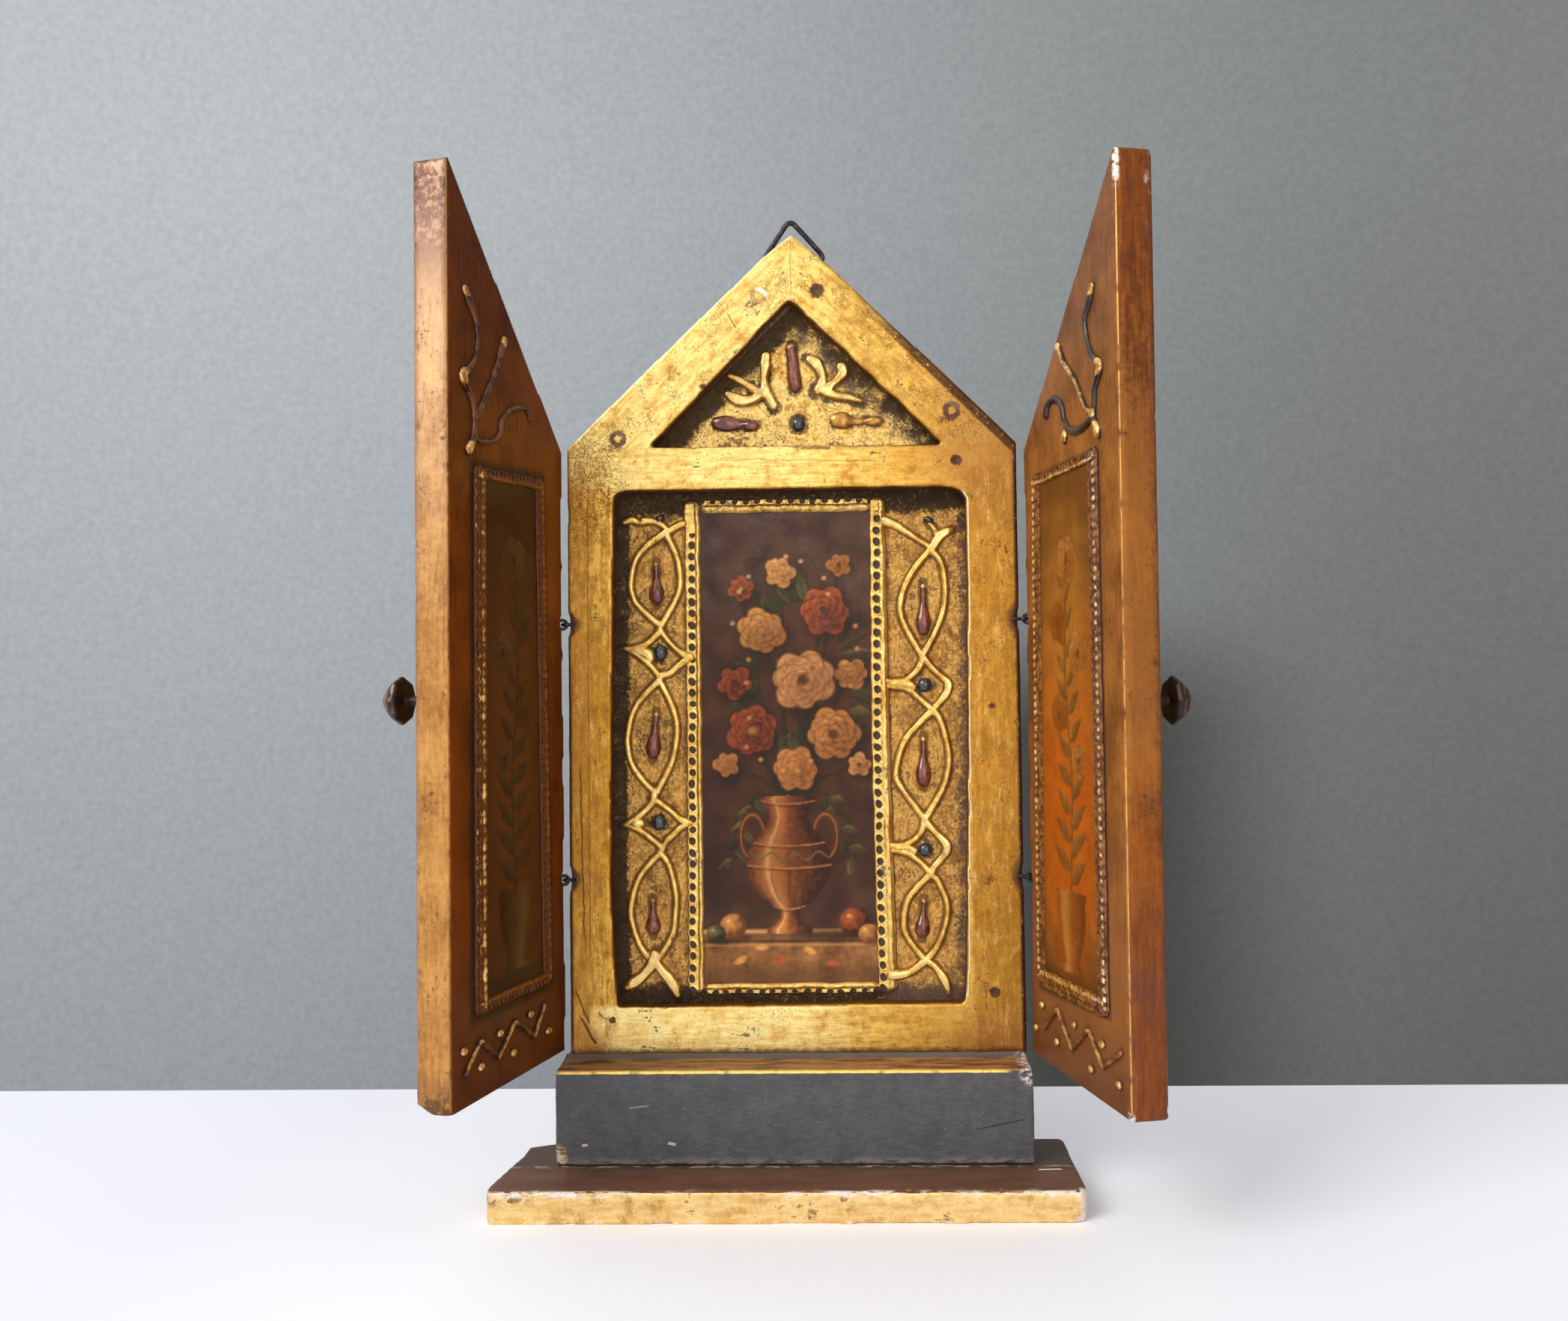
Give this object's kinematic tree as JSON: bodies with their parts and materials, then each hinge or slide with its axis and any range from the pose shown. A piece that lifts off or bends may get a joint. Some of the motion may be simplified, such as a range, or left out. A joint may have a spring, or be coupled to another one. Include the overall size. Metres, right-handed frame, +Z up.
{
  "type": "table triptych altarpiece",
  "caption": "Gabled gilt table triptych on a stepped stand, with recessed picture and raised gesso vines; both wings swing closed on linked wire eyes.",
  "frame": {"origin": "underside of the base board, on the panel's centre line and below its front face", "axes": "+X to the viewer's right, +Y from the front to the back, +Z up"},
  "size_m": [0.1878, 0.0725, 0.2584],
  "materials": {
    "gilded_wood": "worn leaf gold over red bole and gesso",
    "gilded_ground": "toned leaf gold, browned near the walls",
    "slate_paint": "matt slate-grey paint over gesso",
    "base_gilding": "toned gold and brown glaze, chipped to gesso",
    "brown_lacquer": "glossy toned lacquer over gold",
    "dark_print": null,
    "wing_print": null,
    "red_enamel": "glossy red-brown glaze",
    "blue_enamel": "glossy blue-black glaze",
    "iron_wire": "dark oxidised wire",
    "dark_bronze": "dark patinated casting"
  },
  "bodies": {
    "stand": {"base_board": "base_gilding", "plinth_block": "slate_paint", "back_board": "gilded_ground", "left_stile": "gilded_wood", "right_stile": "gilded_wood", "bottom_rail": "gilded_wood", "cross_rail": "gilded_wood", "left_rake": "gilded_wood", "right_rake": "gilded_wood", "picture_border": "gilded_wood", "centre_picture": "dark_print", "left_vine": "gilded_wood", "right_vine": "gilded_wood", "left_drop_1": "red_enamel", "left_drop_2": "red_enamel", "left_drop_3": "red_enamel", "right_drop_1": "red_enamel", "right_drop_2": "red_enamel", "right_drop_3": "red_enamel", "left_bead_1": "blue_enamel", "left_bead_2": "blue_enamel", "left_bead_3": "blue_enamel", "right_bead_1": "blue_enamel", "right_bead_2": "blue_enamel", "right_bead_3": "blue_enamel", "gable_sprig_left": "gilded_wood", "gable_sprig_right": "gilded_wood", "gable_drop_centre": "red_enamel", "gable_drop_left": "red_enamel", "gable_drop_right": "gilded_wood", "gable_bead": "blue_enamel", "left_stile_eye_lower": "iron_wire", "left_stile_eye_upper": "iron_wire", "right_stile_eye_lower": "iron_wire", "right_stile_eye_upper": "iron_wire", "hanger_strap": "iron_wire"},
    "left_wing": {"left_wing_board": "brown_lacquer", "left_wing_border": "brown_lacquer", "left_wing_picture": "wing_print", "left_wing_scroll": "gilded_wood", "left_wing_zigzag": "gilded_wood", "left_wing_knob": "dark_bronze", "left_wing_eye_lower": "iron_wire", "left_wing_eye_upper": "iron_wire"},
    "right_wing": {"right_wing_board": "brown_lacquer", "right_wing_border": "brown_lacquer", "right_wing_picture": "wing_print", "right_wing_scroll": "gilded_wood", "right_wing_zigzag": "gilded_wood", "right_wing_knob": "dark_bronze", "right_wing_eye_lower": "iron_wire", "right_wing_eye_upper": "iron_wire"},
    "hanger": {"hanger_ring": "iron_wire"}
  },
  "joints": [
    {"name": "left_wing_hinge", "type": "hinge", "parent": "stand", "child": "left_wing", "pos_m": [-0.0605, -0.0001, 0.1124], "axis": [0, 0, 1], "range_deg": [-65, 104]},
    {"name": "right_wing_hinge", "type": "hinge", "parent": "stand", "child": "right_wing", "pos_m": [0.0612, -0.0007, 0.1124], "axis": [0, 0, -1], "range_deg": [-68, 101.5]},
    {"name": "hanger_swing", "type": "hinge", "parent": "stand", "child": "hanger", "pos_m": [0.00115, 0.01092, 0.2462], "axis": [-0.9977, 0, -0.068], "range_deg": [0, 160]}
  ]
}
